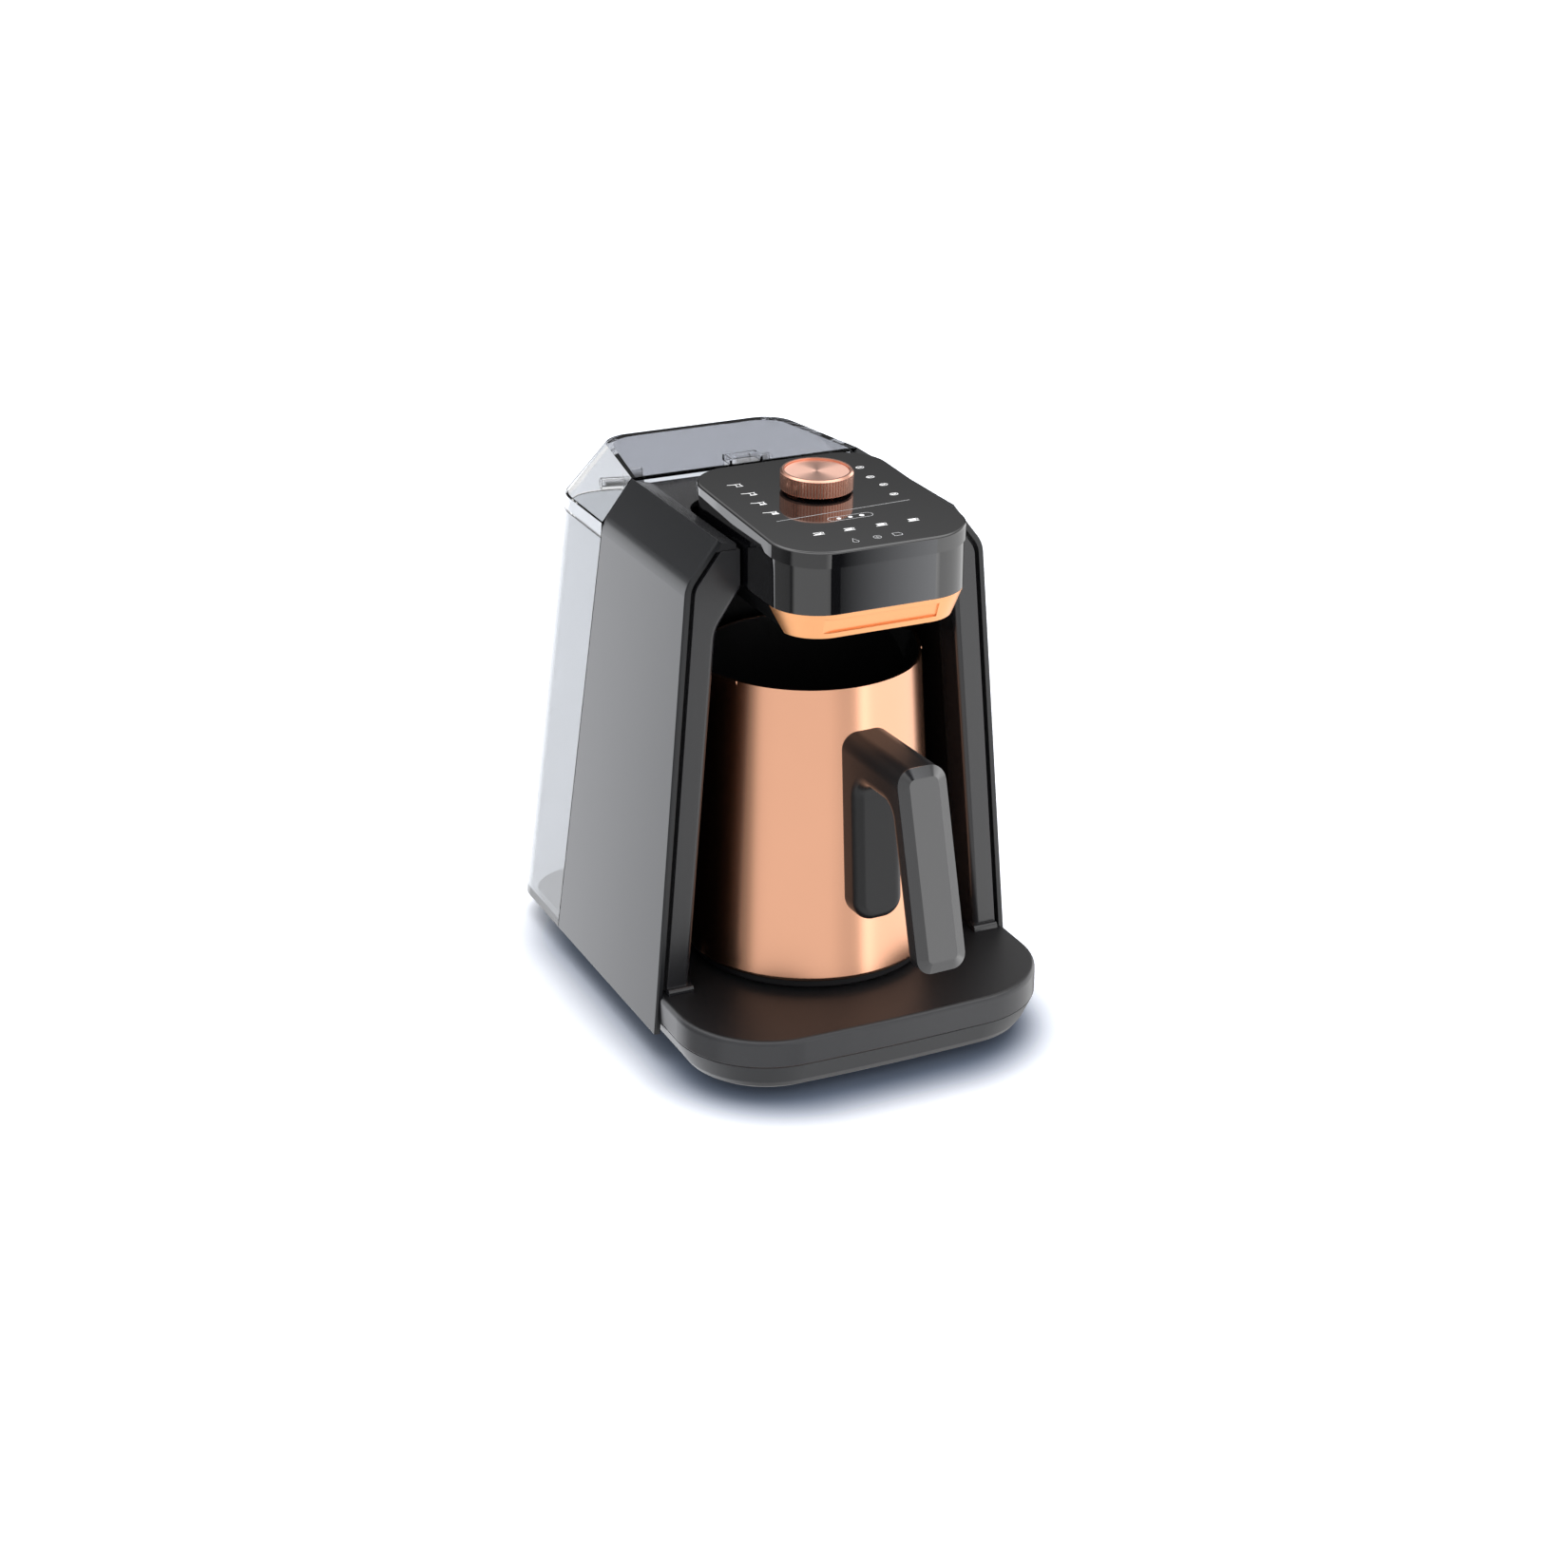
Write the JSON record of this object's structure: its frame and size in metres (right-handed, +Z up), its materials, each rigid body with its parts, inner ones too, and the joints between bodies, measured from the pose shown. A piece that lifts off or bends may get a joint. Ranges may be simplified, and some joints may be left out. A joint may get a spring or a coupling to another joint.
{
  "type": "electric turkish coffee maker",
  "caption": "Countertop coffee maker with a lift-out pot on a hot plate, a head with a turn-and-press knob over it, and a lift-off water tank with a hinged lid behind.",
  "frame": {"origin": "on the surface it stands on, under the middle of its whole outline seen from above", "axes": "+Z up; -Y is the front, where the pot's handle points; +X is to the right of someone who faces the front"},
  "size_m": [0.1732, 0.2742, 0.2508],
  "materials": {
    "side_grey": "satin grey",
    "body_grey": "dark satin grey",
    "body_dark": "black, fine matt",
    "piano_black": "high-gloss black",
    "handle_black": "black, satin",
    "copper": "satin copper plating",
    "brushed_copper": "copper plating, brushed round the centre",
    "smoke_clear": "smoke-tinted clear plastic",
    "rubber": "black rubber",
    "steel": "plain steel",
    "inner_plastic": "grey moulded plastic",
    "hose": "milky silicone rubber",
    "board": "green circuit board"
  },
  "bodies": {
    "housing": {"base_shell": "body_dark", "base_deck": "body_grey", "left_side_panel": "side_grey", "right_side_panel": "side_grey", "left_column": "body_grey", "right_column": "body_grey", "cavity_liner": "body_dark", "top_cover": "body_grey", "rear_wall": "body_dark", "head_housing": "piano_black", "steam_hood": "body_dark", "spout_trim": "copper", "control_panel": "piano_black", "overflow_sensor": "steel", "water_nozzle": "inner_plastic", "heating_plate": "steel", "heater_element": "steel", "thermostat": "inner_plastic", "power_board": "board", "control_board": "board", "encoder_body": "inner_plastic", "water_pump": "inner_plastic", "supply_hose": "hose", "delivery_hose": "hose", "tank_socket": "inner_plastic", "socket_seal": "rubber", "rubber_feet": "rubber", "base_screws": "steel", "cord_gland": "body_dark"},
    "switch_plunger": {"switch_plunger": "inner_plastic"},
    "knob": {"knob_sleeve": "copper", "knob_face": "brushed_copper", "knob_shaft": "inner_plastic"},
    "tank": {"tank_shell": "smoke_clear", "tank_grip": "smoke_clear", "valve_body": "inner_plastic", "inlet_strainer": "inner_plastic", "lid_pins": "steel"},
    "tank_valve": {"valve_poppet": "inner_plastic", "valve_seal": "rubber", "valve_spring": "steel"},
    "tank_lid": {"tank_lid": "smoke_clear"},
    "pot": {"pot_body": "copper", "pot_base_ring": "handle_black", "pot_handle": "handle_black", "handle_studs": "steel", "grip_insert": "handle_black"}
  },
  "joints": [
    {"name": "tank_lift", "type": "slide", "parent": "housing", "child": "tank", "axis": [0, 0, 1], "range_m": [0, 0.26]},
    {"name": "lid_hinge", "type": "hinge", "parent": "tank", "child": "tank_lid", "pos_m": [0, 0.11266, 0.2106], "axis": [-1, 0, 0], "range_deg": [0, 100]},
    {"name": "valve_lift", "type": "slide", "parent": "tank", "child": "tank_valve", "axis": [0, 0, 1], "range_m": [0, 0.003], "stiffness_N_per_m": 150, "springref_m": -0.003, "deforming": ["valve_spring"]},
    {"name": "pot_slide", "type": "slide", "parent": "housing", "child": "pot", "axis": [0, -1, 0], "range_m": [0, 0.2]},
    {"name": "knob_press", "type": "slide", "parent": "housing", "child": "switch_plunger", "axis": [0, 0.045, -0.999], "range_m": [0, 0.0008], "stiffness_N_per_m": 2500, "springref_m": -0.0004},
    {"name": "knob_spin", "type": "hinge", "parent": "switch_plunger", "child": "knob", "pos_m": [0, -0.02434, 0.24088], "axis": [0, -0.045, 0.999], "continuous": true}
  ]
}
